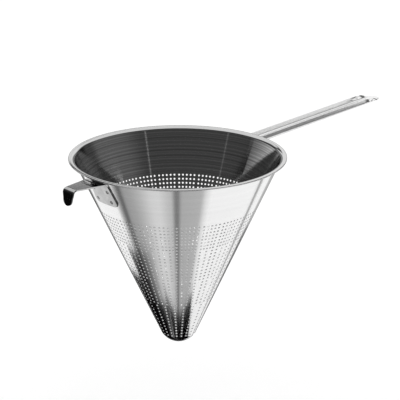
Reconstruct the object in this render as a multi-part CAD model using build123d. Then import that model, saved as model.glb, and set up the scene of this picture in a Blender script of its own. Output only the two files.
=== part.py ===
from build123d import *
import math
import os

os.makedirs("parts", exist_ok=True)

# Frame: millimetres, +Z up, origin on the cone's axis in the middle of the rim's thickness.
# The handle runs out along +X and the rest hook along -X.

# Driving dimensions of the body, a spun cone of sheet steel
sheet = 0.8                # thickness of the body
mouth_radius = 114.0       # outside of the wall, carried up to the rim's middle plane
half_angle = 24.2          # degrees between the wall and the axis
nose_radius = 22.5         # outside of the rounded tip
rim_width = 6.0            # from the wall's carried-up outside to the rim's outer edge
rim_bend = 1.0             # inside radius where the wall turns out into the rim
hem_gap = 0.3              # slit left between the two leaves of the folded rim
hem_setback = 2.4          # room between the wall and the edge of the folded-under leaf

# Holes of the wall, a plain grid that stands for the much finer punched pattern
hole_columns = 24          # round the cone
hole_rows = 12             # down the wall, evenly spaced
plain_band = 56.4          # along the wall, from the rim's middle plane to the top row
tip_band = 3.6             # along the wall, from the bottom row to the start of the rounded tip
top_hole_radius = 3.0      # from the top row down, the holes shrink evenly
tip_hole_radius = 0.9
hole_turn = 11.8           # degrees round the axis from the handle to the first column

# Driving dimensions shared by the two straps, the handle and the rest hook
strap = 1.5                # thickness of the strip that both are made of
strap_bend = 2.0           # inside radius of the bend at each foot
rim_clearance = 0.6        # air between a strap and the rim that it passes under

# Handle: a channel open at the top, its end opened out flat
handle_width = 19.0        # across the outside of the channel
handle_depth = 7.4         # from the bottom of the channel to its edges
handle_fold = 2.0          # inside radius of the two long folds
handle_length = 214.5      # from the rim's outer edge to the handle's end
handle_rise = 3.7          # degrees that the handle climbs away from the rim
handle_edge_height = 0.0   # height of the channel's edges beside the rim
handle_end_radius = 8.5    # rounding of the flat end
opening_length = 33.0      # stretch over which the channel opens out flat
opening_middle_share = 0.42 # of that stretch, where the walls still stand well up
opening_middle_fold = 64.0 # degrees that the walls stand up there
opening_end_fold = 4.0     # degrees left at the flat end
end_wall_share = 0.6       # of the full wall's length, left at the flat end

# Hanging slot near the handle's end
slot_length = 17.0
slot_width = 9.0
slot_inset = 21.3          # from the handle's end to the middle of the slot

# Neck and foot of the handle: level under the rim, then bent down and formed to the cone
crease_setback = 2.0       # from the rim's outer edge in to where the neck starts to climb
handle_root_half = 9.0     # half width of the neck at the cone
handle_foot_half = 14.0    # half width of the foot's bottom, taken to the sharp corners
handle_foot_drop = 32.0    # from the top of the neck to the bottom of the foot
handle_foot_corner = 6.0

# Rest hook: arm, turned-down lip and foot
hook_length = 32.8         # from the rim's outer edge to the outside of the lip's end
hook_height = -4.2         # top face of the arm
hook_root_half = 15.0      # half width of the arm at the cone
hook_tip_half = 8.6        # half width of the arm at the lip
hook_lip_drop = 17.6       # from the top of the arm to the end of the lip
hook_lip_turn = 83.0       # degrees that the lip is bent down from the arm
hook_lip_half = 7.2        # half width of the lip where its round end starts
hook_lip_bend = 3.5        # inside radius of the bend down to the lip
hook_foot_half = 18.5      # half width of the foot's bottom, taken to the sharp corners
hook_foot_drop = 28.5      # from the top of the arm to the bottom of the foot
hook_foot_corner = 5.0

# Spot welds that hold both feet to the cone
weld_radius = 2.2
weld_depth = 0.4           # how far a weld reaches into the body's sheet
weld_dimple = 0.25         # how far its face lies below the foot's face
hook_weld_spread = 11.0    # to each side of the foot's middle
hook_weld_drops = (9.8, 22.4)      # down from the top of the arm
handle_weld_spread = 7.5
handle_weld_drops = (12.0, 23.0)   # down from the top of the neck

# Share of a full turn that a strap's root is cut from
root_turn_share = 0.25

# Cutting tools run past what they cut by this much
overrun = 5.0

# Values worked out from the sizes above
rim_radius = mouth_radius + rim_width
handle_crease = rim_radius - crease_setback
hook_reach = rim_radius + hook_length
tan_wall = math.tan(math.radians(half_angle))
cos_wall = math.cos(math.radians(half_angle))
sin_wall = math.sin(math.radians(half_angle))
apex_height = -mouth_radius / tan_wall
nose_center = apex_height + nose_radius / sin_wall
nose_bottom = nose_center - nose_radius
hole_field = mouth_radius / sin_wall - nose_radius / tan_wall - plain_band - tip_band
hem_height = 2 * sheet + hem_gap
rim_top = hem_height / 2
rim_bottom = -hem_height / 2
tan_rise = math.tan(math.radians(handle_rise))
cos_rise = math.cos(math.radians(handle_rise))
sin_rise = math.sin(math.radians(handle_rise))
handle_web_half = handle_width / 2 - handle_fold - strap
handle_height = handle_edge_height - handle_depth / cos_rise
neck_height = handle_height + strap / cos_rise - (rim_radius - handle_crease) * tan_rise
hook_lip_rise = (hook_lip_bend + strap) * (1 - math.cos(math.radians(hook_lip_turn)))
hook_lip_length = (hook_lip_drop - hook_lip_rise) / math.sin(math.radians(hook_lip_turn))
hook_lip_out = (hook_lip_bend + strap) * math.sin(math.radians(hook_lip_turn))
hook_bend_x = hook_reach - hook_lip_out - hook_lip_length * math.cos(math.radians(hook_lip_turn))


def wall_radius(height, outward=0.0):
    """Radius of the cone's outer face at a height, or of a face lying outward of it."""
    return mouth_radius + height * tan_wall + outward / cos_wall


def bend_arc(center_r, center_z, radius):
    """Three points of an arc that turns from the wall's slope out to level."""
    turn = math.radians(90 - half_angle)
    return [
        (center_r - radius * math.sin(angle), center_z + radius * math.cos(angle))
        for angle in (turn, turn / 2, 0)
    ]


def nose_arc(radius):
    """Three points of an arc from the wall's slope to the bottom of the rounded nose."""
    turn = math.radians(90 - half_angle)
    return [
        (radius * math.sin(angle), nose_center - radius * math.cos(angle))
        for angle in (turn, turn / 2, 0)
    ]


def make_body():
    """The cone with its rounded nose, and its mouth folded out and under as a hem."""
    bend_z = hem_gap / 2 - rim_bend
    bend_r = wall_radius(bend_z, rim_bend)
    fold_r = rim_radius - rim_top
    leaf_edge = mouth_radius + hem_setback
    inner_bend = bend_arc(bend_r, bend_z, rim_bend + sheet)
    outer_bend = bend_arc(bend_r, bend_z, rim_bend)
    inner_nose = nose_arc(nose_radius - sheet)
    outer_nose = nose_arc(nose_radius)
    with BuildPart() as body:
        with BuildSketch(Plane.XZ):
            with BuildLine():
                ThreePointArc(*inner_nose)
                Line(inner_nose[0], inner_bend[0])
                ThreePointArc(*inner_bend)
                Line(inner_bend[2], (fold_r, rim_top))
                ThreePointArc((fold_r, rim_top), (rim_radius, 0), (fold_r, rim_bottom))
                Line((fold_r, rim_bottom), (leaf_edge, rim_bottom))
                Line((leaf_edge, rim_bottom), (leaf_edge, -hem_gap / 2))
                Line((leaf_edge, -hem_gap / 2), (fold_r, -hem_gap / 2))
                ThreePointArc((fold_r, -hem_gap / 2), (fold_r + hem_gap / 2, 0), (fold_r, hem_gap / 2))
                Line((fold_r, hem_gap / 2), outer_bend[2])
                ThreePointArc(*outer_bend)
                Line(outer_bend[0], outer_nose[0])
                ThreePointArc(*outer_nose)
                Line(outer_nose[2], inner_nose[2])
            make_face()
        revolve(axis=Axis.Z)
    return body.part


def make_root(top, root_half, end, end_half, foot_half, drop, corner):
    """A strap's foot, formed to the cone, and its neck, which narrows out level to its end."""
    bend_z = top - strap - strap_bend
    bend_r = wall_radius(bend_z, strap + strap_bend)
    bottom = top - drop
    low = bottom - overrun
    outer_bend = bend_arc(bend_r, bend_z, strap_bend + strap)
    inner_bend = bend_arc(bend_r, bend_z, strap_bend)
    far = end + overrun
    with BuildPart() as ring:
        with BuildSketch(Plane.XZ):
            with BuildLine():
                Line((wall_radius(low), low), outer_bend[0])
                ThreePointArc(*outer_bend)
                Line(outer_bend[2], (far, top))
                Line((far, top), (far, top - strap))
                Line((far, top - strap), inner_bend[2])
                ThreePointArc(*inner_bend)
                Line(inner_bend[0], (wall_radius(low, strap), low))
                Line((wall_radius(low, strap), low), (wall_radius(low), low))
            make_face()
        revolve(axis=Axis.Z, revolution_arc=360 * root_turn_share)
    with BuildPart() as front:
        with BuildSketch(Plane.YZ):
            with BuildLine():
                Polyline((-foot_half, bottom), (-root_half, bend_z), (-root_half, top + overrun),
                         (root_half, top + overrun), (root_half, bend_z), (foot_half, bottom), close=True)
            outline = make_face()
            fillet(outline.vertices().group_by(Axis.Y)[0], corner)
        extrude(amount=far)
    wide = root_half + foot_half
    with BuildPart() as plan:
        with BuildSketch(Plane.XY.offset(low)):
            with BuildLine():
                Polyline((0, -wide), (bend_r, -wide), (bend_r, -root_half), (end, -end_half),
                         (end, end_half), (bend_r, root_half), (bend_r, wide), (0, wide), close=True)
            make_face()
        extrude(amount=top + overrun - low)
    return Rot(0, 0, -180 * root_turn_share) * ring.part & front.part & plan.part


def wall_rod(height, angle, radius, depth, length):
    """A rod along the wall's normal, from a depth below the outer face outward."""
    normal = Vector(math.cos(angle) * cos_wall, math.sin(angle) * cos_wall, -sin_wall)
    seat = Vector(math.cos(angle), math.sin(angle), 0) * wall_radius(height) + Vector(0, 0, height)
    start = Plane(origin=seat - normal * depth, z_dir=normal)
    return start * Cylinder(radius, length, align=(Align.CENTER, Align.CENTER, Align.MIN))


def hole_rods():
    """Cutters of the wall's holes, row by row from the top."""
    rods = []
    for row in range(hole_rows):
        share = row / (hole_rows - 1)
        height = -(plain_band + hole_field * share) * cos_wall
        radius = top_hole_radius + (tip_hole_radius - top_hole_radius) * share
        for column in range(hole_columns):
            angle = math.radians(hole_turn + 360 * column / hole_columns)
            rods.append(wall_rod(height, angle, radius, sheet + overrun, sheet + 2 * overrun))
    return rods


def weld_rods(top, drops, spread, length, turn=0):
    """Rods from inside the sheet outward, turned about the cone's axis."""
    rods = []
    for drop in drops:
        for offset in (-spread, spread):
            height = top - drop
            angle = math.asin(offset / wall_radius(height))
            rods.append(Rot(0, 0, turn) * wall_rod(height, angle, weld_radius, weld_depth, length))
    return rods


def channel_section(distance, fold, wall_length):
    """The strip's cross-section at a distance along the handle, its walls folded up by an angle."""
    outer = handle_fold + strap
    web = handle_web_half
    turn = math.radians(fold)
    half = math.radians(fold / 2)
    along = Vector(math.cos(turn), math.sin(turn))
    inward = Vector(-math.sin(turn), math.cos(turn)) * strap

    def corner(radius, angle):
        return Vector(web + radius * math.sin(angle), outer - radius * math.cos(angle))

    outer_end = corner(outer, turn)
    inner_end = corner(handle_fold, turn)
    tip = outer_end + along * wall_length

    def side(sign, first, second, third=None):
        points = [Vector(sign * point.X, point.Y) for point in (first, second, third) if point is not None]
        return Line(*points) if third is None else ThreePointArc(*points)

    place = Plane(origin=(distance, 0, 0), x_dir=(0, 1, 0), z_dir=(1, 0, 0))
    with BuildSketch(place) as section:
        with BuildLine():
            Line((-web, 0), (web, 0))
            for sign in (1, -1):
                side(sign, Vector(web, 0), corner(outer, half), outer_end)
                side(sign, outer_end, tip)
                side(sign, tip, tip + inward)
                side(sign, tip + inward, inner_end)
                side(sign, inner_end, corner(handle_fold, half), Vector(web, strap))
            Line((-web, strap), (web, strap))
        make_face()
    return section.sketch


def make_channel():
    """The handle beyond the rim in its own level frame, along X, its bottom at zero height."""
    full_wall = handle_depth - handle_fold - strap
    past_end = handle_length + overrun
    straight_end = handle_length - opening_length
    round_start = handle_length - handle_end_radius
    stages = [
        (straight_end, 90, full_wall),
        (straight_end + opening_length * opening_middle_share, opening_middle_fold, full_wall),
        (round_start, opening_end_fold, full_wall * end_wall_share),
        (handle_length, opening_end_fold, full_wall * end_wall_share),
    ]
    start = channel_section(rim_clearance, 90, full_wall)
    straight = extrude(start, amount=straight_end - rim_clearance, dir=(1, 0, 0))
    opening = loft([channel_section(*stage) for stage in stages], ruled=True)
    with BuildPart() as round_end:
        with BuildSketch(Plane.XY.offset(-overrun)):
            with BuildLine():
                Polyline((round_start, handle_end_radius), (round_start, handle_width),
                         (past_end, handle_width), (past_end, -handle_width),
                         (round_start, -handle_width), (round_start, -handle_end_radius))
                ThreePointArc((round_start, -handle_end_radius), (handle_length, 0),
                              (round_start, handle_end_radius))
            make_face()
        extrude(amount=handle_depth + 2 * overrun)
    with BuildPart() as slot:
        with BuildSketch(Plane.XY.offset(-overrun)):
            with Locations((handle_length - slot_inset, 0)):
                SlotOverall(slot_length, slot_width)
        extrude(amount=handle_depth + 2 * overrun)
    return straight + opening - round_end.part - slot.part


def make_handle():
    """The handle: foot and neck, the crease where it starts to climb, and the channel."""
    root = make_root(neck_height, handle_root_half, handle_crease, handle_web_half,
                     handle_foot_half, handle_foot_drop, handle_foot_corner)
    start = Vector(rim_radius + rim_clearance * cos_rise, handle_height + rim_clearance * sin_rise)
    thickness = Vector(-sin_rise, cos_rise) * strap
    under = handle_crease + strap * math.tan(math.radians(handle_rise / 2))
    with BuildPart() as crease:
        with BuildSketch(Plane.XZ):
            with BuildLine():
                Polyline((handle_crease, neck_height - strap), (under, neck_height - strap), start,
                         start + thickness, (handle_crease, neck_height), close=True)
            make_face()
        extrude(amount=handle_web_half, both=True)
    channel = Pos(rim_radius, 0, handle_height) * Rot(0, -handle_rise, 0) * make_channel()
    return root + crease.part + channel


def make_lip():
    """The hook's lip, bent down from the level arm, its end narrowed and rounded."""
    turn = math.radians(hook_lip_turn)
    outer = hook_lip_bend + strap
    bend_z = hook_height - outer

    def on_bend(radius, angle):
        return Vector(hook_bend_x + radius * math.sin(angle), bend_z + radius * math.cos(angle))

    down = Vector(math.cos(turn), -math.sin(turn)) * hook_lip_length
    with BuildPart() as strip:
        with BuildSketch(Plane.XZ):
            with BuildLine():
                ThreePointArc(on_bend(outer, 0), on_bend(outer, turn / 2), on_bend(outer, turn))
                Polyline(on_bend(outer, turn), on_bend(outer, turn) + down,
                         on_bend(hook_lip_bend, turn) + down, on_bend(hook_lip_bend, turn))
                ThreePointArc(on_bend(hook_lip_bend, turn), on_bend(hook_lip_bend, turn / 2),
                              on_bend(hook_lip_bend, 0))
                Line(on_bend(hook_lip_bend, 0), on_bend(outer, 0))
            make_face()
        extrude(amount=hook_tip_half + overrun, both=True)
    lip_end = hook_height - hook_lip_drop
    round_z = lip_end + hook_lip_half
    with BuildPart() as front:
        with BuildSketch(Plane.YZ):
            with BuildLine():
                Polyline((-hook_lip_half, round_z), (-hook_tip_half, bend_z), (-hook_tip_half, overrun),
                         (hook_tip_half, overrun), (hook_tip_half, bend_z), (hook_lip_half, round_z))
                ThreePointArc((hook_lip_half, round_z), (0, lip_end), (-hook_lip_half, round_z))
            make_face()
        extrude(amount=hook_reach + overrun)
    return strip.part & front.part


def make_hook():
    """The rest hook, modelled along +X and turned to the side away from the handle."""
    root = make_root(hook_height, hook_root_half, hook_bend_x, hook_tip_half,
                     hook_foot_half, hook_foot_drop, hook_foot_corner)
    return Rot(0, 0, 180) * (root + make_lip())


def write(node, shape):
    """Writes one named sub-part and prints its size."""
    shape.label = node
    export_step(shape, os.path.join("parts", node + ".step"))
    size = shape.bounding_box().size
    print(node, round(shape.volume, 1), round(size.X, 2), round(size.Y, 2), round(size.Z, 2))


nugget_length = weld_depth + strap - weld_dimple
handle_welds = weld_rods(neck_height, handle_weld_drops, handle_weld_spread, nugget_length)
hook_welds = weld_rods(hook_height, hook_weld_drops, hook_weld_spread, nugget_length, turn=180)
handle_holes = weld_rods(neck_height, handle_weld_drops, handle_weld_spread, overrun)
hook_holes = weld_rods(hook_height, hook_weld_drops, hook_weld_spread, overrun, turn=180)

write("strainer_cone", make_body() - handle_welds - hook_welds - hole_rods())
write("handle", make_handle() - handle_holes)
write("rest_hook", make_hook() - hook_holes)
write("handle_spot_welds", Compound(children=handle_welds))
write("hook_spot_welds", Compound(children=hook_welds))
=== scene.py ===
import logging
import math
from dataclasses import dataclass
from enum import Enum, IntEnum

import bmesh
import bpy
import numpy as np
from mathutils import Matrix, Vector


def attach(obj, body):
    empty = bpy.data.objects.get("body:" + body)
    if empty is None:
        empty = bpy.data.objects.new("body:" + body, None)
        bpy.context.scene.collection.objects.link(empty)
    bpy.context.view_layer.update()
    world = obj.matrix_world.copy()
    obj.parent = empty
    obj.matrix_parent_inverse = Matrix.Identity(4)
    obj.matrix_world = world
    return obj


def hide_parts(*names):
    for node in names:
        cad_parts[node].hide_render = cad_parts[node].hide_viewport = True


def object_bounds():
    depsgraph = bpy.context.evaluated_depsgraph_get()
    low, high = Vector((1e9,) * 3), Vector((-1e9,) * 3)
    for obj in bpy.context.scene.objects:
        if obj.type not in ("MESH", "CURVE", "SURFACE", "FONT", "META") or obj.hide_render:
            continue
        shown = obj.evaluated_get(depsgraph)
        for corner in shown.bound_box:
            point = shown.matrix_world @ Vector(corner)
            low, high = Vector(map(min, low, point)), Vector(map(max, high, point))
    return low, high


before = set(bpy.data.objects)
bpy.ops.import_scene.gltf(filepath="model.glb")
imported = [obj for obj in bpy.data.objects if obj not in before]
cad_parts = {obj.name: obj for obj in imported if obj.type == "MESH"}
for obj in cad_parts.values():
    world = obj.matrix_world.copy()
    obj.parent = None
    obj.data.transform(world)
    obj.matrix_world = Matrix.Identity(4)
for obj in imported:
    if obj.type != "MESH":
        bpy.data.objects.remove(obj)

CAD_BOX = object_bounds()
MM = 0.001
WELD_DISTANCE = 0.002 * MM

Socket = bpy.types.NodeSocket
Pair = tuple[float, float]
Place = tuple[float, float, float]

log = logging.getLogger("strainer")


class Grain(Enum):
    """Which way the fine lines of a rolled or turned surface run."""

    RINGS = "rings round the cone's axis"
    LENGTHWISE = "lines along the handle and the hook"


class ConeSlot(IntEnum):
    """Material slots of the spun body."""

    OUTSIDE = 0
    INSIDE = 1
    RIM = 2


class NodeGraph:
    """A node tree under construction, with short calls for adding and joining nodes."""

    def __init__(self, tree: bpy.types.NodeTree) -> None:
        """Takes the tree that every later call adds to."""
        self.tree = tree

    def add(self, kind: str, inputs: dict | None = None, **settings: object) -> bpy.types.Node:
        """Adds a node.

        Args:
            kind: The node's Blender type name.
            inputs: Input sockets by name or number, each with a value or the socket that feeds it.
            **settings: Properties of the node itself.

        Returns:
            The new node.
        """
        node = self.tree.nodes.new(kind)
        for name, value in settings.items():
            setattr(node, name, value)
        for key, value in (inputs or {}).items():
            self.feed(node.inputs[key], value)
        return node

    def made(self, kind: str, inputs: dict | None = None, **settings: object) -> Socket:
        """Adds a node and gives its first output."""
        return self.add(kind, inputs, **settings).outputs[0]

    def feed(self, socket: Socket, value: object) -> None:
        """Links a socket to another, or sets its value.

        Args:
            socket: The input.
            value: The socket that feeds it, or its plain value.
        """
        if isinstance(value, Socket):
            self.tree.links.new(value, socket)
        else:
            socket.default_value = value

    def math(self, operation: str, *values: object) -> Socket:
        """One arithmetic step, by its Blender name, on numbers or sockets."""
        return self.made("ShaderNodeMath", dict(enumerate(values)), operation=operation)

    def times(self, first: object, *others: object) -> Socket:
        """Multiplies numbers or sockets.

        Args:
            first: The first factor.
            *others: The other factors.

        Returns:
            The product's socket.
        """
        product = first
        for factor in others:
            product = self.math("MULTIPLY", product, factor)
        return product

    def point(self, x: object, y: object, z: object) -> Socket:
        """A vector from three numbers or sockets."""
        return self.made("ShaderNodeCombineXYZ", {0: x, 1: y, 2: z})

    def ramp(self, value: object, low: object, high: object, reach: Pair = (0.0, 1.0),
             curve: str = "LINEAR") -> Socket:
        """Carries a value from one range to another.

        Args:
            value: The value.
            low: The result at the range's start and before it.
            high: The result at the range's end and past it.
            reach: The range's start and end.
            curve: Blender's name of the curve between them.

        Returns:
            The result's socket.
        """
        sizes = {"Value": value, "From Min": reach[0], "From Max": reach[1], "To Min": low, "To Max": high}
        return self.made("ShaderNodeMapRange", sizes, interpolation_type=curve)

    def ease(self, value: object, reach: Pair, low: float, high: float) -> Socket:
        """A ramp that starts and ends softly."""
        return self.ramp(value, low, high, reach, "SMOOTHSTEP")


class FieldGraph(NodeGraph):
    """A Geometry Nodes tree, with its own short calls for geometry."""

    def __init__(self, name: str, sizes: dict[str, object]) -> None:
        """Makes the tree with a geometry input and output, and an input for each size.

        Args:
            name: The tree's name.
            sizes: The inputs' values by name, each a decimal or whole number or a material.
        """
        super().__init__(bpy.data.node_groups.new(name, "GeometryNodeTree"))
        self.tree.is_modifier = True
        self.sizes = sizes
        for way in ("INPUT", "OUTPUT"):
            self.tree.interface.new_socket("Geometry", in_out=way, socket_type="NodeSocketGeometry")
        for label, value in sizes.items():
            kind = "NodeSocket" + type(value).__name__.capitalize()
            self.tree.interface.new_socket(label, in_out="INPUT", socket_type=kind)
        self.start = self.add("NodeGroupInput")
        self.end = self.add("NodeGroupOutput")

    def given(self, name: str) -> Socket:
        """The value of a named input."""
        return self.start.outputs[name]

    def polar(self, radius: object, angle: object, height: object) -> Socket:
        """A vector from a radius, an angle and a height.

        Args:
            radius: Distance from the axis.
            angle: Angle round the axis, in radians.
            height: Height along the axis.

        Returns:
            The vector's socket.
        """
        x = self.times(radius, self.math("COSINE", angle))
        y = self.times(radius, self.math("SINE", angle))
        return self.point(x, y, height)

    def place(self, geometry: Socket, position: Socket) -> Socket:
        """Moves every point of a geometry to a position field."""
        return self.made("GeometryNodeSetPosition", {"Geometry": geometry, "Position": position})

    def copies(self, points: Socket, shape: Socket, **inputs: object) -> Socket:
        """Real copies of a shape at points."""
        spread = self.made("GeometryNodeInstanceOnPoints", {"Points": points, "Instance": shape, **inputs})
        return self.made("GeometryNodeRealizeInstances", {"Geometry": spread})

    def join(self, *geometries: Socket) -> Socket:
        """Puts geometries into one.

        Args:
            *geometries: The geometries, in the order that they keep.

        Returns:
            The joined geometry.
        """
        node = self.add("GeometryNodeJoinGeometry")
        for geometry in reversed(geometries):
            self.tree.links.new(geometry, node.inputs[0])
        return node.outputs[0]

    def weld(self, geometry: Socket) -> Socket:
        """Merges points that lie closer together than the weld distance."""
        sizes = {"Geometry": geometry, "Distance": WELD_DISTANCE}
        return self.made("GeometryNodeMergeByDistance", sizes)

    def finish(self, geometry: Socket) -> None:
        """Realizes the instances, sets the material input and closes the tree.

        Args:
            geometry: The tree's result.
        """
        real = self.made("GeometryNodeRealizeInstances", {"Geometry": geometry})
        dressed = self.made("GeometryNodeSetMaterial",
                            {"Geometry": real, "Material": self.given("Material")})
        self.feed(self.end.inputs[0], dressed)


def new_object(name: str, data: bpy.types.ID) -> bpy.types.Object:
    """Makes an object at the origin and links it to the scene.

    Args:
        name: The object's name.
        data: Its mesh, camera or light.

    Returns:
        The object.
    """
    thing = bpy.data.objects.new(name, data)
    bpy.context.scene.collection.objects.link(thing)
    return thing


def polyline_mesh(name: str, points: list[Vector], closed: bool = False) -> bpy.types.Mesh:
    """A mesh of edges through a row of points.

    Args:
        name: The mesh's name.
        points: The points.
        closed: Whether an edge joins the last point to the first.

    Returns:
        The mesh.
    """
    edges = [(i, i + 1) for i in range(len(points) - 1)]
    if closed:
        edges.append((len(points) - 1, 0))
    mesh = bpy.data.meshes.new(name)
    mesh.from_pydata([tuple(point) for point in points], edges, [])
    return mesh


def baked(name: str, base: bpy.types.Mesh, graph: FieldGraph) -> bpy.types.Mesh:
    """Runs a Geometry Nodes tree on a mesh and returns the plain result.

    Args:
        name: Name of the resulting mesh.
        base: Mesh that the tree starts from.
        graph: The Geometry Nodes tree, with its sizes.

    Returns:
        The evaluated mesh, with no modifier left.
    """
    carrier = new_object(name + "_carrier", base)
    modifier = carrier.modifiers.new("Shape", "NODES")
    modifier.node_group = graph.tree
    for item in graph.tree.interface.items_tree:
        if item.in_out == "INPUT" and item.name in graph.sizes:
            modifier[item.identifier] = graph.sizes[item.name]
    depsgraph = bpy.context.evaluated_depsgraph_get()
    mesh = bpy.data.meshes.new_from_object(carrier.evaluated_get(depsgraph))
    mesh.name = name
    carrier.modifiers.remove(modifier)
    bpy.data.objects.remove(carrier)
    return mesh


def numbers(items: bpy.types.bpy_prop_collection, name: str, width: int = 1) -> np.ndarray:
    """Reads one property of all vertices, corners or faces of a mesh.

    Args:
        items: The vertices, corners or faces.
        name: The property's name.
        width: How many numbers the property has.

    Returns:
        A row of whole numbers, or for a width above one a table with a line for each item.
    """
    values = np.empty(len(items) * width, np.int32 if width == 1 else np.float32)
    items.foreach_get(name, values)
    return values if width == 1 else values.reshape(-1, width)


def arc(center: Pair, radius: float, start: float, end: float, steps: int) -> list[Vector]:
    """Points on an arc in the plane of radius and height.

    Args:
        center: Radius and height of the arc's centre.
        radius: The arc's own radius.
        start: Angle of the first point, in radians from straight out.
        end: Angle of the last point.
        steps: Number of spans.

    Returns:
        The arc's points, both ends included.
    """
    angles = [start + (end - start) * i / steps for i in range(steps + 1)]
    return [Vector((center[0] + radius * math.cos(a), 0, center[1] + radius * math.sin(a))) for a in angles]


@dataclass(frozen=True)
class SteelFinish:
    """Bright stainless sheet with fine lines from turning, rolling or brushing."""

    name: str
    grain: Grain
    tone: float
    roughness: float
    anisotropy: float
    tone_change: float = 0.06
    roughness_change: float = 0.08
    line_depth: float = 0.02 * MM
    lines_per_metre: float = 1400.0
    bands_per_metre: float = 160.0
    band_reach: Pair = (0.32, 0.68)
    ring_turn: float = 0.25

    def build(self) -> bpy.types.Material:
        """Makes the finish's material.

        Returns:
            The node-based material.
        """
        material = bpy.data.materials.new(self.name)
        material.use_nodes = True
        graph = NodeGraph(material.node_tree)
        shader = material.node_tree.nodes["Principled BSDF"]
        group = graph.add("ShaderNodeGroup", node_tree=grain_group(self.grain))
        graph.feed(group.inputs["Lines per metre"], self.lines_per_metre)
        graph.feed(group.inputs["Bands per metre"], self.bands_per_metre)
        lines = group.outputs["Lines"]
        tone = graph.ramp(group.outputs["Bands"], self.tone - self.tone_change, self.tone + self.tone_change,
                          self.band_reach)
        rough = graph.ramp(lines, self.roughness - self.roughness_change,
                           self.roughness + self.roughness_change)
        colour = graph.made("ShaderNodeCombineColor", {0: tone, 1: tone, 2: tone})
        bump = graph.made("ShaderNodeBump", {"Height": lines, "Distance": self.line_depth, "Strength": 1.0})
        looks = {"Base Color": colour, "Roughness": rough, "Normal": bump, "Metallic": 1.0,
                 "Anisotropic": self.anisotropy}
        if self.grain is Grain.RINGS:
            tangent = graph.made("ShaderNodeTangent", direction_type="RADIAL", axis="Z")
            looks |= {"Tangent": tangent, "Anisotropic Rotation": self.ring_turn}
        for name, value in looks.items():
            graph.feed(shader.inputs[name], value)
        return material


def grain_group(grain: Grain) -> bpy.types.NodeTree:
    """The shader group that draws a finish's fine lines and its broader bands, made once for each grain.

    Args:
        grain: Which way the lines run.

    Returns:
        The group, with line counts as inputs and two masks from 0 to 1 as outputs.
    """
    name = "Grain " + grain.name.lower()
    if name in bpy.data.node_groups:
        return bpy.data.node_groups[name]
    stretch = 0.02
    noise_detail = 2.0
    tree = bpy.data.node_groups.new(name, "ShaderNodeTree")
    pairs = (("Lines", "Lines per metre"), ("Bands", "Bands per metre"))
    for mask, count in pairs:
        tree.interface.new_socket(count, in_out="INPUT", socket_type="NodeSocketFloat")
        tree.interface.new_socket(mask, in_out="OUTPUT", socket_type="NodeSocketFloat")
    graph = NodeGraph(tree)
    start = graph.add("NodeGroupInput")
    end = graph.add("NodeGroupOutput")
    coordinates = graph.add("ShaderNodeTexCoord").outputs["Object"]
    x, y, z = graph.add("ShaderNodeSeparateXYZ", {0: coordinates}).outputs
    if grain is Grain.RINGS:
        place = graph.point(z, 0.0, 0.0)
    else:
        place = graph.point(y, z, graph.times(x, stretch))
    for mask, count in pairs:
        scaled = graph.add("ShaderNodeVectorMath", {0: place, "Scale": start.outputs[count]},
                           operation="SCALE")
        noise = graph.add("ShaderNodeTexNoise", {"Vector": scaled.outputs[0], "Scale": 1.0,
                                                 "Detail": noise_detail})
        graph.feed(end.inputs[mask], noise.outputs["Fac"])
    return tree


@dataclass(frozen=True)
class Wall:
    """The straight wall of the cone, as seen from its tip outward and unrolled flat."""

    mouth_radius: float = 114.0 * MM
    half_angle: float = math.radians(24.2)
    sheet: float = 0.8 * MM

    @property
    def apex(self) -> float:
        """Height of the point that the wall's outer face runs down to."""
        return -self.mouth_radius / math.tan(self.half_angle)

    def slant(self, height: float) -> float:
        """Distance along the wall's outer face from the apex up to a height."""
        return (height - self.apex) / math.cos(self.half_angle)

    def at(self, slant: float, depth: float = 0.0) -> Pair:
        """Radius and height of a place in the wall.

        Args:
            slant: Distance along the outer face from the apex.
            depth: Distance from the outer face towards the inside.

        Returns:
            The radius and the height.
        """
        radius = slant * math.sin(self.half_angle) - depth * math.cos(self.half_angle)
        height = self.apex + slant * math.cos(self.half_angle) + depth * math.sin(self.half_angle)
        return radius, height

    def depth_of(self, radius: np.ndarray, height: np.ndarray) -> np.ndarray:
        """Depth below the outer face of places given by radius and height."""
        face = (height - self.apex) * math.tan(self.half_angle)
        return (face - radius) * math.cos(self.half_angle)


@dataclass(frozen=True)
class HoleBand:
    """Rows of holes that have the same number of holes in each sector."""

    rows: int
    holes: int


@dataclass(frozen=True)
class Perforation:
    """The punched pattern: equal sectors, each with bands of rows that thin out towards the tip."""

    sectors: int = 24
    first_boundary: float = math.radians(4.3)
    first_row: float = 56.4 * MM
    row_pitch: float = 4.761 * MM
    hole_radius: float = 1.1 * MM
    edge_width: float = 0.16 * MM
    edge_depth: float = 0.1 * MM
    margin: float = 2.75 * MM
    sides: int = 12
    top_spans: int = 8
    bottom_spans: int = 4
    bands: tuple[HoleBand, ...] = (HoleBand(8, 5), HoleBand(10, 3), HoleBand(8, 2), HoleBand(11, 1))

    @property
    def rows(self) -> int:
        """Number of rows in all bands."""
        return sum(band.rows for band in self.bands)

    @property
    def top(self) -> float:
        """Distance down the wall from the rim's middle plane to the pattern's upper edge."""
        return self.first_row - self.row_pitch / 2

    @property
    def bottom(self) -> float:
        """Distance down the wall to the pattern's lower edge."""
        return self.top + self.rows * self.row_pitch


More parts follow.
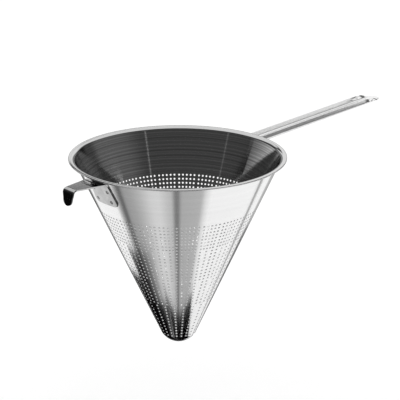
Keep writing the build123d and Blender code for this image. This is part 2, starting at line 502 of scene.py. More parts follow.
class PiercedWallTree(FieldGraph):
    """The tree that punches one flat sector, gives it thickness, rolls it up and repeats it."""

    def __init__(self, sizes: dict[str, object], bands: tuple[HoleBand, ...]) -> None:
        """Builds the tree.

        Args:
            sizes: The tree's inputs by name.
            bands: The pattern's bands of rows, from the top down.
        """
        super().__init__("Pierced wall", sizes)
        self.sine = self.math("SINE", self.given("Half angle"))
        self.cosine = self.math("COSINE", self.given("Half angle"))
        centres = self.hole_centres(bands)
        mouth_radius = self.math("ADD", self.given("Hole radius"), self.given("Edge width"))
        outline = self.made("GeometryNodeMeshToCurve", {"Mesh": self.given("Geometry")})
        skins = []
        for radius, depth in ((mouth_radius, 0.0), (self.given("Hole radius"), self.given("Sheet"))):
            circle = self.made("GeometryNodeCurvePrimitiveCircle",
                               {"Resolution": self.given("Sides"), "Radius": radius})
            lines = self.join(outline, self.copies(centres, circle))
            filled = self.made("GeometryNodeFillCurve", {"Curve": lines})
            skins.append(self.made("GeometryNodeSetPosition",
                                   {"Geometry": filled, "Offset": self.point(0.0, 0.0, depth)}))
        tubes = self.copies(centres, self.hole_tube(mouth_radius))
        rolled = self.place(self.weld(self.join(*skins, tubes)), self.rolled_up())
        self.finish(self.weld(self.repeated(rolled)))

    def hole_centres(self, bands: tuple[HoleBand, ...]) -> Socket:
        """Points at the holes' centres in the flat sector.

        Args:
            bands: The pattern's bands of rows.

        Returns:
            The points of all bands.
        """
        half = self.times(self.math("DIVIDE", self.given("Sector angle"), 2.0), self.sine)
        index = self.made("GeometryNodeInputIndex")
        groups = []
        done = 0
        for band in bands:
            holes = float(band.holes)
            row = self.math("FLOOR", self.math("DIVIDE", index, holes))
            column = self.math("MODULO", index, holes)
            down = self.times(self.math("ADD", row, float(done)), self.given("Row pitch"))
            down = self.math("ADD", self.given("First row"), down)
            slant = self.math("SUBTRACT", self.given("Rim slant"), down)
            room = self.math("SUBTRACT", half, self.math("DIVIDE", self.given("Margin"), slant))
            spans = max(band.holes - 1, 1)
            share = self.math("SUBTRACT", self.times(column, 2.0 / spans), float(band.holes > 1))
            place = self.polar(slant, self.times(share, room), 0.0)
            groups.append(self.made("GeometryNodePoints",
                                    {"Count": band.rows * band.holes, "Position": place}))
            done += band.rows
        return self.join(*groups)

    def hole_tube(self, mouth_radius: Socket) -> Socket:
        """One hole's side: the rolled-in edge, then the straight part through the sheet.

        Args:
            mouth_radius: Radius of the hole where its edge meets the outer face.

        Returns:
            The tube's geometry.
        """
        sides = self.given("Sides")
        ring = self.made("GeometryNodeMeshCircle", {"Vertices": sides, "Radius": mouth_radius},
                         fill_type="NONE")
        place = self.made("GeometryNodeInputPosition")
        # An extruded edge reads the field at its middle, so a corner moves by this share of what is asked.
        middle = self.math("COSINE", self.math("DIVIDE", math.pi, sides))
        shift = self.times(mouth_radius, self.times(middle, middle))
        shrink = self.math("DIVIDE", self.times(self.given("Edge width"), -1.0), shift)
        inward = self.made("ShaderNodeVectorMath", {0: place, "Scale": shrink}, operation="SCALE")
        deeper = self.point(0.0, 0.0, self.given("Edge depth"))
        first = self.made("ShaderNodeVectorMath", {0: inward, 1: deeper}, operation="ADD")
        edge = self.add("GeometryNodeExtrudeMesh", {"Mesh": ring, "Offset": first, "Offset Scale": 1.0},
                        mode="EDGES")
        rest = self.math("SUBTRACT", self.given("Sheet"), self.given("Edge depth"))
        side = self.add("GeometryNodeExtrudeMesh",
                        {"Mesh": edge.outputs["Mesh"], "Selection": edge.outputs["Top"],
                         "Offset": self.point(0.0, 0.0, rest), "Offset Scale": 1.0}, mode="EDGES")
        return side.outputs["Mesh"]

    def rolled_up(self) -> Socket:
        """The place on the cone of a point of the flat sector, whose height is the depth in the sheet.

        Returns:
            The position field.
        """
        here = self.made("GeometryNodeInputPosition")
        x, y, depth = self.add("ShaderNodeSeparateXYZ", {0: here}).outputs
        flat = self.point(x, y, 0.0)
        slant = self.add("ShaderNodeVectorMath", {0: flat}, operation="LENGTH").outputs["Value"]
        turn = self.math("DIVIDE", self.math("ARCTAN2", y, x), self.sine)
        radius = self.math("SUBTRACT", self.times(slant, self.sine), self.times(depth, self.cosine))
        rise = self.math("ADD", self.times(slant, self.cosine), self.times(depth, self.sine))
        return self.polar(radius, turn, self.math("ADD", self.given("Apex"), rise))

    def repeated(self, sector: Socket) -> Socket:
        """Copies of one sector all round the axis.

        Args:
            sector: The rolled sector.

        Returns:
            The copies.
        """
        index = self.made("GeometryNodeInputIndex")
        step = self.times(self.math("ADD", index, 0.5), self.given("Sector angle"))
        turn = self.point(0.0, 0.0, self.math("ADD", step, self.given("First boundary")))
        rotation = self.made("FunctionNodeEulerToRotation", {0: turn})
        points = self.made("GeometryNodePoints", {"Count": self.given("Sectors")})
        return self.copies(points, sector, Rotation=rotation)


class LatheTree(FieldGraph):
    """The tree that turns a profile round the Z axis."""

    def __init__(self, sizes: dict[str, object]) -> None:
        """Builds the tree.

        Args:
            sizes: The tree's inputs by name.
        """
        super().__init__("Turned profile", sizes)
        profile = self.given("Geometry")
        count = self.add("GeometryNodeAttributeDomainSize", {0: profile}).outputs["Point Count"]
        around = self.math("ADD", self.given("Segments"), 1.0)
        grid = self.made("GeometryNodeMeshGrid", {"Vertices X": count, "Vertices Y": around})
        index = self.made("GeometryNodeInputIndex")
        row = self.math("FLOOR", self.math("DIVIDE", self.math("ADD", index, 0.5), around))
        column = self.math("SUBTRACT", index, self.times(row, around))
        turn = self.math("DIVIDE", self.times(column, math.tau), self.given("Segments"))
        turn = self.math("ADD", turn, self.given("First angle"))
        position = self.made("GeometryNodeInputPosition")
        sample = self.add("GeometryNodeSampleIndex", {"Geometry": profile}, data_type="FLOAT_VECTOR",
                          domain="POINT")
        self.feed(sample.inputs["Value"], position)
        self.feed(sample.inputs["Index"], row)
        here = self.add("ShaderNodeSeparateXYZ", {0: sample.outputs[0]})
        turned = self.place(grid, self.polar(here.outputs[0], turn, here.outputs[2]))
        self.finish(self.weld(turned))


@dataclass(frozen=True)
class StrainerCone:
    """The spun body: pierced wall, rounded nose and the rim folded out and under."""

    wall: Wall = Wall()
    pattern: Perforation = Perforation()
    nose_radius: float = 22.5 * MM
    nose_spans: int = 12
    rim_width: float = 6.0 * MM
    rim_bend: float = 3.8 * MM
    under_bend_spans: int = 5
    top_bend_spans: int = 8
    fold_spans: int = 12
    hem_gap: float = 0.3 * MM
    hem_spans: int = 6
    hem_setback: float = 2.4 * MM
    crease_angle: float = math.radians(35)
    face_tolerance: float = 0.02 * MM
    outer_facing: float = 0.6
    inner_facing: float = -0.95
    outside: SteelFinish = SteelFinish(
        "spun_steel_outside", Grain.RINGS, tone=0.93, tone_change=0.025, roughness=0.11,
        roughness_change=0.03, anisotropy=0.85)
    inside: SteelFinish = SteelFinish(
        "spun_steel_inside", Grain.RINGS, tone=0.66, tone_change=0.24, roughness=0.08,
        roughness_change=0.03, anisotropy=0.85, bands_per_metre=520.0)
    rim: SteelFinish = SteelFinish(
        "polished_rim_steel", Grain.RINGS, tone=0.66, tone_change=0.03, roughness=0.08,
        roughness_change=0.02, anisotropy=0.3)

    @property
    def nose_centre(self) -> float:
        """Height of the nose's centre."""
        return self.wall.apex + self.nose_radius / math.sin(self.wall.half_angle)

    def sector_outline(self) -> bpy.types.Mesh:
        """The flat outline of one sector of the unrolled wall.

        Returns:
            A mesh of edges that form a closed line.
        """
        pattern = self.pattern
        top = self.wall.slant(0.0) - pattern.top
        bottom = self.wall.slant(0.0) - pattern.bottom
        half = math.pi / pattern.sectors * math.sin(self.wall.half_angle)

        def flat(slant: float, angle: float) -> Vector:
            """A place on the unrolled wall."""
            return Vector((slant * math.cos(angle), slant * math.sin(angle), 0))

        points = [flat(top, half * (2 * i / pattern.top_spans - 1)) for i in range(pattern.top_spans)]
        points += [flat(top - i * pattern.row_pitch, half) for i in range(pattern.rows)]
        points += [flat(bottom, half * (1 - 2 * i / pattern.bottom_spans))
                   for i in range(pattern.bottom_spans)]
        points += [flat(bottom + i * pattern.row_pitch, -half) for i in range(pattern.rows)]
        return polyline_mesh("sector_outline", points, closed=True)

    def foot(self, slant: float, depth: float = 0.0) -> Vector:
        """A place in the wall, as a point of a turned profile."""
        radius, height = self.wall.at(slant, depth)
        return Vector((radius, 0, height))

    def rim_profile(self) -> list[Vector]:
        """Section of the plain band and the rim, out from the pattern, round the hem and back in.

        Returns:
            The section's points.
        """
        wall = self.wall
        angle = wall.half_angle
        bend_z = self.hem_gap / 2 - self.rim_bend
        bend_r = wall.mouth_radius + bend_z * math.tan(angle) + self.rim_bend / math.cos(angle)
        rim_top = wall.sheet + self.hem_gap / 2
        fold_r = wall.mouth_radius + self.rim_width - rim_top
        leaf_r = wall.mouth_radius + self.hem_setback
        start = wall.slant(0.0) - self.pattern.top
        wall_turn = math.pi - angle
        quarter = math.pi / 2
        return [
            self.foot(start),
            *arc((bend_r, bend_z), self.rim_bend, wall_turn, quarter, self.under_bend_spans),
            *arc((fold_r, 0.0), self.hem_gap / 2, quarter, -quarter, self.hem_spans),
            Vector((leaf_r, 0, -self.hem_gap / 2)),
            Vector((leaf_r, 0, -rim_top)),
            *arc((fold_r, 0.0), rim_top, -quarter, quarter, self.fold_spans),
            *arc((bend_r, bend_z), self.rim_bend + wall.sheet, quarter, wall_turn, self.top_bend_spans),
            self.foot(start, wall.sheet),
        ]

    def nose_profile(self) -> list[Vector]:
        """Section of the nose, from its outer edge down to the axis and, inside, up again.

        Returns:
            The section's points.
        """
        wall = self.wall
        start = wall.slant(0.0) - self.pattern.bottom
        center = (0.0, self.nose_centre)
        past_tangent = 1 / math.tan(wall.half_angle) - start / self.nose_radius
        first = -wall.half_angle - past_tangent
        down = -math.pi / 2
        return [
            self.foot(start),
            *arc(center, self.nose_radius, first, down, self.nose_spans)[1:],
            *arc(center, self.nose_radius - wall.sheet, down, first, self.nose_spans)[:-1],
            self.foot(start, wall.sheet),
        ]

    def build_mesh(self) -> bpy.types.Mesh:
        """Makes the closed mesh of the whole body.

        Returns:
            The mesh, with its finishes and its shading normals set.
        """
        wall = self.wall
        pattern = self.pattern
        finishes = [finish.build() for finish in (self.outside, self.inside, self.rim)]
        sizes = {
            "Half angle": wall.half_angle, "Apex": wall.apex, "Rim slant": wall.slant(0.0),
            "First row": pattern.first_row, "Row pitch": pattern.row_pitch,
            "Hole radius": pattern.hole_radius, "Edge width": pattern.edge_width,
            "Edge depth": pattern.edge_depth, "Sheet": wall.sheet, "Margin": pattern.margin,
            "Sector angle": math.tau / pattern.sectors, "First boundary": pattern.first_boundary,
            "Sides": pattern.sides, "Sectors": pattern.sectors, "Material": finishes[ConeSlot.OUTSIDE],
        }
        parts = [baked("pierced_wall", self.sector_outline(), PiercedWallTree(sizes, pattern.bands))]
        for name, profile, spans in (("rim", self.rim_profile(), pattern.top_spans),
                                     ("nose", self.nose_profile(), pattern.bottom_spans)):
            lathe = LatheTree({"Segments": spans * pattern.sectors, "First angle": pattern.first_boundary,
                               "Material": finishes[ConeSlot.OUTSIDE]})
            parts.append(baked(name, polyline_mesh(name + "_profile", profile), lathe))
        whole = bmesh.new()
        for part in parts:
            whole.from_mesh(part)
        bmesh.ops.remove_doubles(whole, verts=whole.verts, dist=WELD_DISTANCE)
        loose = [edge for edge in whole.edges if not edge.link_faces]
        bmesh.ops.delete(whole, geom=loose, context="EDGES")
        bmesh.ops.recalc_face_normals(whole, faces=whole.faces)
        mesh = bpy.data.meshes.new("strainer_cone_pierced")
        whole.to_mesh(mesh)
        open_edges = sum(1 for edge in whole.edges if len(edge.link_faces) != 2)
        whole.free()
        for material in finishes:
            mesh.materials.append(material)
        self.set_normals(mesh)
        self.set_finishes(mesh)
        log.info("cone: %d faces, %d open edges", len(mesh.polygons), open_edges)
        return mesh

    def set_normals(self, mesh: bpy.types.Mesh) -> None:
        """Gives both faces of the wall the shading normals of a true cone.

        Args:
            mesh: The body's closed mesh, changed in place.
        """
        wall = self.wall
        mesh.shade_smooth()
        mesh.set_sharp_from_angle(angle=self.crease_angle)
        corners = numbers(mesh.corner_normals, "vector", 3)
        place = numbers(mesh.vertices, "co", 3)[numbers(mesh.loops, "vertex_index")]
        owner = np.repeat(np.arange(len(mesh.polygons)), numbers(mesh.polygons, "loop_total"))
        radius = np.hypot(place[:, 0], place[:, 1])
        out = place[:, :2] / np.maximum(radius, MM)[:, None]
        fall = np.full(len(out), -math.sin(wall.half_angle))
        true = np.column_stack([out * math.cos(wall.half_angle), fall])
        facing = np.einsum("ij,ij->i", numbers(mesh.polygons, "normal", 3)[owner], true)
        depth = wall.depth_of(radius, place[:, 2])
        lowest = wall.at(wall.slant(0.0) - self.pattern.bottom)[1] - MM
        on_wall = (place[:, 2] < -wall.sheet * 2) & (place[:, 2] > lowest)
        outer = on_wall & (np.abs(depth) < self.face_tolerance) & (facing > self.outer_facing)
        inner = on_wall & (np.abs(depth - wall.sheet) < self.face_tolerance) & (facing < self.inner_facing)
        corners[outer] = true[outer]
        corners[inner] = -true[inner]
        mesh.normals_split_custom_set(corners.tolist())

    def set_finishes(self, mesh: bpy.types.Mesh) -> None:
        """Gives the outside, the inside and the rim their material slots.

        Args:
            mesh: The body's closed mesh, changed in place.
        """
        wall = self.wall
        middles = numbers(mesh.polygons, "center", 3)
        radius = np.hypot(middles[:, 0], middles[:, 1])
        height = middles[:, 2]
        in_wall = wall.depth_of(radius, height) > wall.sheet / 2
        in_nose = np.hypot(radius, height - self.nose_centre) < self.nose_radius - wall.sheet / 2
        below = height < self.nose_centre - self.nose_radius * math.sin(wall.half_angle)
        slots = np.where(np.where(below, in_nose, in_wall), ConeSlot.INSIDE, ConeSlot.OUTSIDE)
        slots[height > -self.rim_bend] = ConeSlot.RIM
        mesh.polygons.foreach_set("material_index", slots.astype(np.int32))

    def build(self) -> bpy.types.Object:
        """Makes the body's object in place of the plain solid.

        Returns:
            The object.
        """
        cone = new_object("strainer_cone_pierced", self.build_mesh())
        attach(cone, "root")
        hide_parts("strainer_cone")
        return cone


@dataclass(frozen=True)
class Straps:
    """The handle and the rest hook, with the soft edges of tumbled strip, and their spot welds."""

    handle_edge_radius: float = 0.45 * MM
    hook_edge_radius: float = 0.2 * MM
    edge_spans: int = 3
    edge_angle: float = math.radians(40)
    merge_distance: float = 0.001 * MM
    # Below this height, faces that point sideways get the painted shade of the foot's gap.
    seam_top: float = -7.0 * MM
    seam_facing: float = 0.6
    handle_finish: SteelFinish = SteelFinish(
        "rolled_handle_steel", Grain.LENGTHWISE, tone=0.92, tone_change=0.03, roughness=0.12,
        roughness_change=0.03, anisotropy=0.3, line_depth=0.01 * MM)
    # Painted shade: the hook's steel is a darker copy of the handle's steel, standing in for the darker
    # reflections on its foot and arm.
    hook_finish: SteelFinish = SteelFinish(
        "rolled_hook_steel", Grain.LENGTHWISE, tone=0.5, roughness=0.08, roughness_change=0.03,
        anisotropy=0.3, line_depth=0.01 * MM)
    # Painted shade: a near-black finish on the foot's sides stands for the shadow in the gap against the
    # cone.
    seam_finish: SteelFinish = SteelFinish(
        "dark_seam_steel", Grain.RINGS, tone=0.08, roughness=0.4, anisotropy=0.0)
    weld_finish: SteelFinish = SteelFinish(
        "pressed_weld_steel", Grain.RINGS, tone=0.3, roughness=0.35, anisotropy=0.0)

    def softened(self, node: str, radius: float) -> bpy.types.Mesh:
        """A copy of a node's mesh with its sharp edges rounded.

        Args:
            node: The node's name.
            radius: Radius of the rounded edges.

        Returns:
            The new mesh.
        """
        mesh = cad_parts[node].data.copy()
        mesh.materials.clear()
        merged = bmesh.new()
        merged.from_mesh(mesh)
        bmesh.ops.remove_doubles(merged, verts=merged.verts, dist=self.merge_distance)
        merged.to_mesh(mesh)
        merged.free()
        mesh.shade_smooth()
        carrier = new_object(node + "_carrier", mesh)
        bevel = carrier.modifiers.new("Soft edges", "BEVEL")
        bevel.width = radius
        bevel.segments = self.edge_spans
        bevel.limit_method = "ANGLE"
        bevel.angle_limit = self.edge_angle
        carrier.modifiers.new("Flat faces", "WEIGHTED_NORMAL")
        depsgraph = bpy.context.evaluated_depsgraph_get()
        result = bpy.data.meshes.new_from_object(carrier.evaluated_get(depsgraph))
        bpy.data.objects.remove(carrier)
        return result

    def build(self) -> None:
        """Makes the softened straps in place of the plain ones, and gives the spot welds their finish."""
        for node, finish, radius in (("handle", self.handle_finish, self.handle_edge_radius),
                                     ("rest_hook", self.hook_finish, self.hook_edge_radius)):
            mesh = self.softened(node, radius)
            mesh.materials.append(finish.build())
            if node == "rest_hook":
                self.darken_seam(mesh)
            piece = new_object(node + "_soft_edged", mesh)
            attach(piece, "root")
            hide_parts(node)
            log.info("%s: %d faces", piece.name, len(mesh.polygons))
        self.dress_welds()

    def darken_seam(self, mesh: bpy.types.Mesh) -> None:
        """Gives the sides of the hook's foot a near-black finish, painted shade of the gap where the foot
        meets the cone.

        Args:
            mesh: The hook's mesh, changed in place.
        """
        mesh.materials.append(self.seam_finish.build())
        for face in mesh.polygons:
            if face.center.z < self.seam_top and abs(face.normal.y) > self.seam_facing:
                face.material_index = len(mesh.materials) - 1

    def dress_welds(self) -> None:
        """Gives the spot welds their finish."""
        weld_material = self.weld_finish.build()
        for node in ("handle_spot_welds", "hook_spot_welds"):
            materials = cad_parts[node].data.materials
            materials.clear()
            materials.append(weld_material)


@dataclass(frozen=True)
class PhotoCamera:
    """The camera at the photograph's place, worked out from the rim's ellipse and the cone's edges."""

    distance: float = 1476.2 * MM
    height_angle: float = math.radians(17.286)
    down_angle: float = math.radians(19.17)
    side_angle: float = math.radians(0.993)
    handle_turn: float = math.radians(41.5)
    lens: float = 120.9
    sensor: float = 36.0
    sight: float = 60.0

    def seen(self, x: float, y: float, z: float) -> Vector:
        """Turns a vector from the camera's directions into the frame's.

        Args:
            x: Its part to the camera's right.
            y: Its part to the camera's back.
            z: Its part upwards.

        Returns:
            The same vector in the frame.
        """
        cosine = math.cos(self.handle_turn)
        sine = math.sin(self.handle_turn)
        return Vector((x * cosine + y * sine, y * cosine - x * sine, z))

    @property
    def place(self) -> Vector:
        """Where the camera stands."""
        return self.seen(0, -math.cos(self.height_angle), math.sin(self.height_angle)) * self.distance

    def build(self) -> bpy.types.Object:
        """Makes the camera and makes it the scene's own.

        Returns:
            The camera's object.
        """
        data = bpy.data.cameras.new("photo_camera")
        data.lens = self.lens
        data.sensor_width = self.sensor
        data.clip_end = self.sight
        camera = new_object("photo_camera", data)
        level = math.cos(self.down_angle)
        look = self.seen(math.sin(self.side_angle) * level, math.cos(self.side_angle) * level,
                         -math.sin(self.down_angle))
        camera.location = self.place
        camera.rotation_mode = "QUATERNION"
        camera.rotation_quaternion = look.to_track_quat("-Z", "Y")
        bpy.context.scene.camera = camera
        return camera


@dataclass(frozen=True)
class ReflectorCard:
    """A card on the floor, cut so that the cone mirrors it between two azimuths and two heights.

    Each stop is an azimuth, in degrees from the camera's right towards its back, and the tone seen there.
    """

    name: str
    stops: tuple[Pair, ...]
    top: float = 150 * MM
    bottom: float = -330 * MM
    lift: float = 1 * MM
    columns: int = 60
    rows: int = 6

    def build(self, wall: Wall, camera: PhotoCamera, floor: float) -> None:
        """Makes the card.

        Args:
            wall: The cone's wall, which mirrors the card.
            camera: The camera that sees the mirror image.
            floor: Height of the floor.
        """
        first = self.stops[0][0]
        last = self.stops[-1][0]
        azimuths, stop_tones = zip(*self.stops)
        places = []
        tones = []
        for column in range(self.columns + 1):
            azimuth = first + (last - first) * column / self.columns
            for row in range(self.rows + 1):
                height = self.top + (self.bottom - self.top) * row / self.rows
                places.append(self.mirrored(wall, camera, floor + self.lift, azimuth, height))
                tones.append(float(np.interp(azimuth, azimuths, stop_tones)))
        stand_card(self.name, places, tones, self.rows)

    def mirrored(self, wall: Wall, camera: PhotoCamera, floor: float, azimuth: float,
                 height: float) -> Vector:
        """Where the camera's ray lands on the floor once the cone's outer face has mirrored it.

        Args:
            wall: The cone's wall.
            camera: The camera.
            floor: Height of the card.
            azimuth: Azimuth of the mirroring place, in degrees.
            height: Height of the mirroring place.

        Returns:
            The landing place.
        """
        turn = math.radians(azimuth)
        radius = wall.mouth_radius + height * math.tan(wall.half_angle)
        place = camera.seen(radius * math.cos(turn), radius * math.sin(turn), height)
        cosine = math.cos(wall.half_angle)
        normal = camera.seen(cosine * math.cos(turn), cosine * math.sin(turn), -math.sin(wall.half_angle))
        ray = (place - camera.place).normalized()
        mirror = ray - normal * 2 * ray.dot(normal)
        return place + mirror * ((floor - height) / mirror.z)


@dataclass(frozen=True)
class PlainCard:
    """A card whose edges are given as places.

    Each edge has two places, to the camera's right, to its back and up from the floor, and the tone there.
    """

    name: str
    edges: tuple[tuple[Place, Place, float], ...]

    def build(self, camera: PhotoCamera, floor: float) -> None:
        """Makes the card.

        Args:
            camera: The camera, whose directions the places follow.
            floor: Height of the floor.
        """
        places = []
        tones = []
        for first, second, tone in self.edges:
            for x, y, z in (first, second):
                places.append(camera.seen(x, y, floor + z))
                tones.append(tone)
        stand_card(self.name, places, tones, 1)


def stand_card(name: str, places: list[Vector], tones: list[float], rows: int) -> None:
    """Puts a card into the studio, where only bright metal shows it.

    Args:
        name: The card's name.
        places: Its points, column by column.
        tones: The tone at each point.
        rows: Number of faces in a column.
    """
    step = rows + 1
    faces = [(i * step + j, i * step + j + 1, i * step + step + j + 1, i * step + step + j)
             for i in range(len(places) // step - 1) for j in range(rows)]
    mesh = bpy.data.meshes.new(name)
    mesh.from_pydata([tuple(place) for place in places], [], faces)
    shade = mesh.attributes.new("tone", "FLOAT", "POINT")
    shade.data.foreach_set("value", tones)
    mesh.materials.append(card_material())
    card = new_object(mesh.name, mesh)
    for way in ("camera", "diffuse", "shadow", "transmission", "volume_scatter"):
        setattr(card, "visible_" + way, False)


def card_material() -> bpy.types.Material:
    """The cards' own light, in the tone that each card's mesh carries, made once.

    Returns:
        The material.
    """
    name = "reflector_card"
    if name in bpy.data.materials:
        return bpy.data.materials[name]
    material = bpy.data.materials.new(name)
    material.use_nodes = True
    graph = NodeGraph(material.node_tree)
    material.node_tree.nodes.remove(material.node_tree.nodes["Principled BSDF"])
    tone = graph.add("ShaderNodeAttribute", attribute_name="tone").outputs["Fac"]
    light = graph.made("ShaderNodeEmission", {"Strength": tone})
    graph.feed(material.node_tree.nodes["Material Output"].inputs["Surface"], light)
    return material


@dataclass(frozen=True)
class StripLamp:
    """A weak strip lamp that draws a light line inside the cone."""

    name: str
    direction: Place
    energy: float
    width: float = 0.03
    length: float = 0.5
    distance: float = 1.8

    def build(self, camera: PhotoCamera) -> None:
        """Makes the lamp and turns it to the cone.

        Args:
            camera: The camera, whose directions the lamp's place follows.
        """
        data = bpy.data.lights.new(self.name, "AREA")
        data.shape = "RECTANGLE"
        data.size = self.width
        data.size_y = self.length
        data.energy = self.energy
        place = camera.seen(*self.direction).normalized() * self.distance
        lamp = new_object(self.name, data)
        lamp.location = place
        lamp.rotation_mode = "QUATERNION"
        lamp.rotation_quaternion = (-place).to_track_quat("-Z", "Y")


@dataclass(frozen=True)
class Studio:
    """A plain pale floor under soft light, with the dark cards that bright metal is photographed with."""

    wall: Wall
    camera: PhotoCamera
    floor_drop: float = 120.0 * MM
    floor_half: float = 9.0
    floor_tone: float = 0.97
    floor_roughness: float = 0.9
    floor_glow: float = 0.09
    white: float = 1.0
    dark_tone: float = 0.062
    rear_tone: float = 0.95
    right_tone: float = 0.14
    right_reach: Pair = (0.6, 0.95)
    side_reach: Pair = (0.3, 0.52)
    left_start: Pair = (0.05, 0.11)
    left_end: float = 0.66
    left_slope: float = 0.35
    left_top: Pair = (0.36, 0.38)
    left_tones: Pair = (0.12, 0.5)
    top_tone: float = 0.9
    top_lean: float = 0.25
    top_reach: Pair = (0.62, 0.7)
    high_rear: Pair = (0.39, 0.43)
    low_rear: Pair = (0.21, 0.26)
    low_rear_tone: float = 0.25
    low_rear_start: Pair = (0.6, 0.75)
    white_top: Pair = (0.36, 0.39)
    white_top_slope: float = 1.03
    white_top_lowest: float = -0.062
    white_side: Pair = (0.35, 0.6)
    mirror_cards: tuple[ReflectorCard, ...] = (
        ReflectorCard("front_card", (
            (229.5, 0.95), (232.0, 0.45), (235.0, 0.13), (236.6, 0.1), (238.0, 0.33), (243.5, 0.38),
            (248.0, 0.47), (252.0, 0.58), (255.0, 0.66), (259.5, 0.68), (263.0, 0.58), (266.5, 0.5),
            (268.4, 0.2), (270.0, 0.2), (272.0, 0.42), (283.0, 0.46), (285.5, 0.75), (289.0, 0.95))),
        ReflectorCard("low_black_card", ((190.0, 0.0), (225.0, 0.0)), top=-124 * MM),
        ReflectorCard("low_band_card", ((222.0, 0.02), (232.0, 0.02), (236.0, 0.07), (240.0, 0.14),
                                        (244.0, 0.27), (248.0, 0.42)), top=-88 * MM, lift=2 * MM),
        ReflectorCard("lowest_band_card", ((222.0, 0.0), (242.0, 0.0), (250.0, 0.06), (256.0, 0.35)),
                      top=-158 * MM, lift=3 * MM),
        ReflectorCard("low_right_edge_card", ((331.0, 0.85), (334.0, 0.15), (345.0, 0.1)),
                      top=-72 * MM, lift=2 * MM),
        ReflectorCard("right_line_card", ((320.5, 0.9), (321.8, 0.25), (323.0, 0.25), (324.5, 0.9))),
        ReflectorCard("left_edge_card", ((194.0, 0.12), (203.0, 0.12), (206.0, 0.93))),
        ReflectorCard("right_edge_card", ((332.5, 0.9), (335.0, 0.45), (345.0, 0.4))),
    )
    plain_cards: tuple[PlainCard, ...] = (
        PlainCard("tip_card", (
            ((-0.09, -0.09, 0.003), (-0.09, 0.07, 0.003), 0.0),
            ((0.09, -0.09, 0.003), (0.09, 0.07, 0.003), 0.0))),
        PlainCard("front_dark_card", (
            ((-0.6, -0.8, 0.001), (0.6, -0.8, 0.001), 0.03),
            ((-0.9, -3.0, 0.001), (0.9, -3.0, 0.001), 0.03))),
        PlainCard("rear_dark_card", (
            ((-0.32, 0.95, 0.001), (0.32, 0.95, 0.001), 0.08),
            ((-0.9, 3.4, 0.001), (0.9, 3.4, 0.001), 0.08))),
        PlainCard("right_floor_card", (
            ((0.8, -0.6, 0.001), (0.8, 0.4, 0.001), 0.05),
            ((1.08, -0.6, 0.001), (1.08, 0.4, 0.001), 0.1),
            ((1.18, -0.6, 0.001), (1.18, 0.4, 0.001), 0.24),
            ((1.5, -0.6, 0.001), (1.5, 0.4, 0.001), 0.2))),
        PlainCard("right_white_card", (
            ((0.45, 0.02, 0.35), (0.45, 0.02, 0.463), 0.95),
            ((0.45, 0.25, 0.35), (0.45, 0.25, 0.405), 0.95))),
        PlainCard("left_flag", (
            ((-0.5, -0.5, 0.001), (-0.5, 0.45, 0.001), 0.0),
            ((-1.1, -0.5, 0.001), (-1.1, 0.27, 0.001), 0.0),
            ((-1.1, -0.5, 0.69), (-1.1, 0.27, 0.69), 0.02))),
    )
    lamps: tuple[StripLamp, ...] = (
        StripLamp("right_strip", (0.587, -0.656, 0.474), 0.012),
        StripLamp("left_strip", (-0.831, -0.375, 0.408), 0.006),
    )

    def build(self) -> None:
        """Makes the floor, the cards, the surroundings and the lamps."""
        self.build_floor()
        for card in self.mirror_cards:
            card.build(self.wall, self.camera, self.floor_height)
        for plain in self.plain_cards:
            plain.build(self.camera, self.floor_height)
        self.build_world()
        for lamp in self.lamps:
            lamp.build(self.camera)
        bpy.context.scene.view_settings.view_transform = "Standard"

    @property
    def floor_height(self) -> float:
        """Height of the floor, below the cone's tip."""
        return CAD_BOX[0].z - self.floor_drop

    def build_floor(self) -> None:
        """Makes the floor."""
        half = self.floor_half
        z = self.floor_height
        mesh = bpy.data.meshes.new("floor")
        corners = [(-half, -half, z), (half, -half, z), (half, half, z), (-half, half, z)]
        mesh.from_pydata(corners, [], [(0, 1, 2, 3)])
        material = bpy.data.materials.new("pale_floor")
        material.use_nodes = True
        shader = material.node_tree.nodes["Principled BSDF"]
        shader.inputs["Base Color"].default_value = (self.floor_tone, self.floor_tone, self.floor_tone, 1)
        shader.inputs["Roughness"].default_value = self.floor_roughness
        shader.inputs["Specular IOR Level"].default_value = 0.0
        graph = NodeGraph(material.node_tree)
        seen = graph.add("ShaderNodeLightPath").outputs["Is Camera Ray"]
        graph.feed(shader.inputs["Emission Strength"], graph.times(seen, self.floor_glow))
        mesh.materials.append(material)
        new_object("floor", mesh)

    def build_world(self) -> None:
        """Makes the surroundings: plain white, but to metal a dark room with a white rear."""
        world = bpy.data.worlds.new("surroundings")
        world.use_nodes = True
        bpy.context.scene.world = world
        graph = NodeGraph(world.node_tree)
        back = world.node_tree.nodes["Background"]
        direction = graph.add("ShaderNodeTexCoord").outputs["Generated"]
        turned = graph.made("ShaderNodeVectorRotate",
                            {"Vector": direction, "Angle": self.camera.handle_turn}, rotation_type="Z_AXIS")
        x, y, z = graph.add("ShaderNodeSeparateXYZ", {0: turned}).outputs
        side = graph.ease(graph.math("ABSOLUTE", x), self.white_side, 1.0, 0.0)
        behind = graph.times(graph.math("GREATER_THAN", y, 0.0), side)
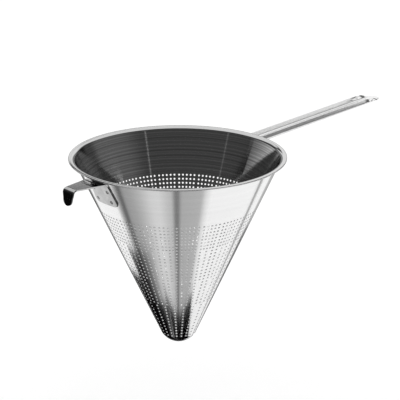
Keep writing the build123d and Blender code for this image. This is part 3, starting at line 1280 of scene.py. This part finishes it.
        # Dark sides, and between them a white rear that ends at a slanting line.
        right = graph.times(graph.ease(x, self.right_reach, 0.0, 1.0),
                            graph.ease(y, self.side_reach, 1.0, 0.0))
        sides = graph.ramp(right, self.dark_tone, self.right_tone)
        rise = graph.math("MAXIMUM", graph.times(x, self.white_top_slope), self.white_top_lowest)
        under = graph.ease(graph.math("SUBTRACT", z, rise), self.white_top, 1.0, 0.0)
        room = graph.ramp(graph.times(behind, under), sides, self.rear_tone)
        above = graph.ease(z, self.low_rear, self.low_rear_tone, 1.0)
        room = graph.times(room, graph.math("MAXIMUM", above, graph.ease(y, self.low_rear_start, 1.0, 0.0)))
        # A grey panel at the left, lighter towards the back.
        slanting = graph.math("ADD", z, graph.times(y, self.left_slope))
        left = graph.times(graph.math("LESS_THAN", x, 0.0), graph.ease(y, self.left_start, 0.0, 1.0),
                           graph.ease(slanting, self.left_top, 1.0, 0.0),
                           graph.ramp(y, *self.left_tones, (self.left_start[1], self.left_end)))
        room = graph.math("MAXIMUM", room, left)
        # Light overhead that leans to the back, and a light strip high at the rear.
        leaning = graph.math("ADD", z, graph.times(y, self.top_lean))
        high_rear = graph.times(behind, graph.ease(z, self.high_rear, 0.0, 1.0))
        overhead = graph.math("MAXIMUM", graph.ease(leaning, self.top_reach, 0.0, 1.0), high_rear)
        room = graph.ramp(overhead, room, self.top_tone)
        metal = graph.add("ShaderNodeLightPath").outputs["Is Glossy Ray"]
        graph.feed(back.inputs["Strength"], graph.ramp(metal, self.white, room))
        back.inputs["Color"].default_value = (1, 1, 1, 1)


def main() -> None:
    """Builds the strainer piece by piece, then the studio and the camera."""
    logging.basicConfig(level=logging.INFO, format="%(name)s: %(message)s")
    cone = StrainerCone().build()
    log.info("built %s", cone.name)
    Straps().build()
    log.info("built the handle and the hook, and dressed their welds")
    photo_camera = PhotoCamera()
    Studio(Wall(), photo_camera).build()
    camera = photo_camera.build()
    log.info("camera at %s", [round(value, 4) for value in camera.location])


if __name__ == "__main__":
    main()
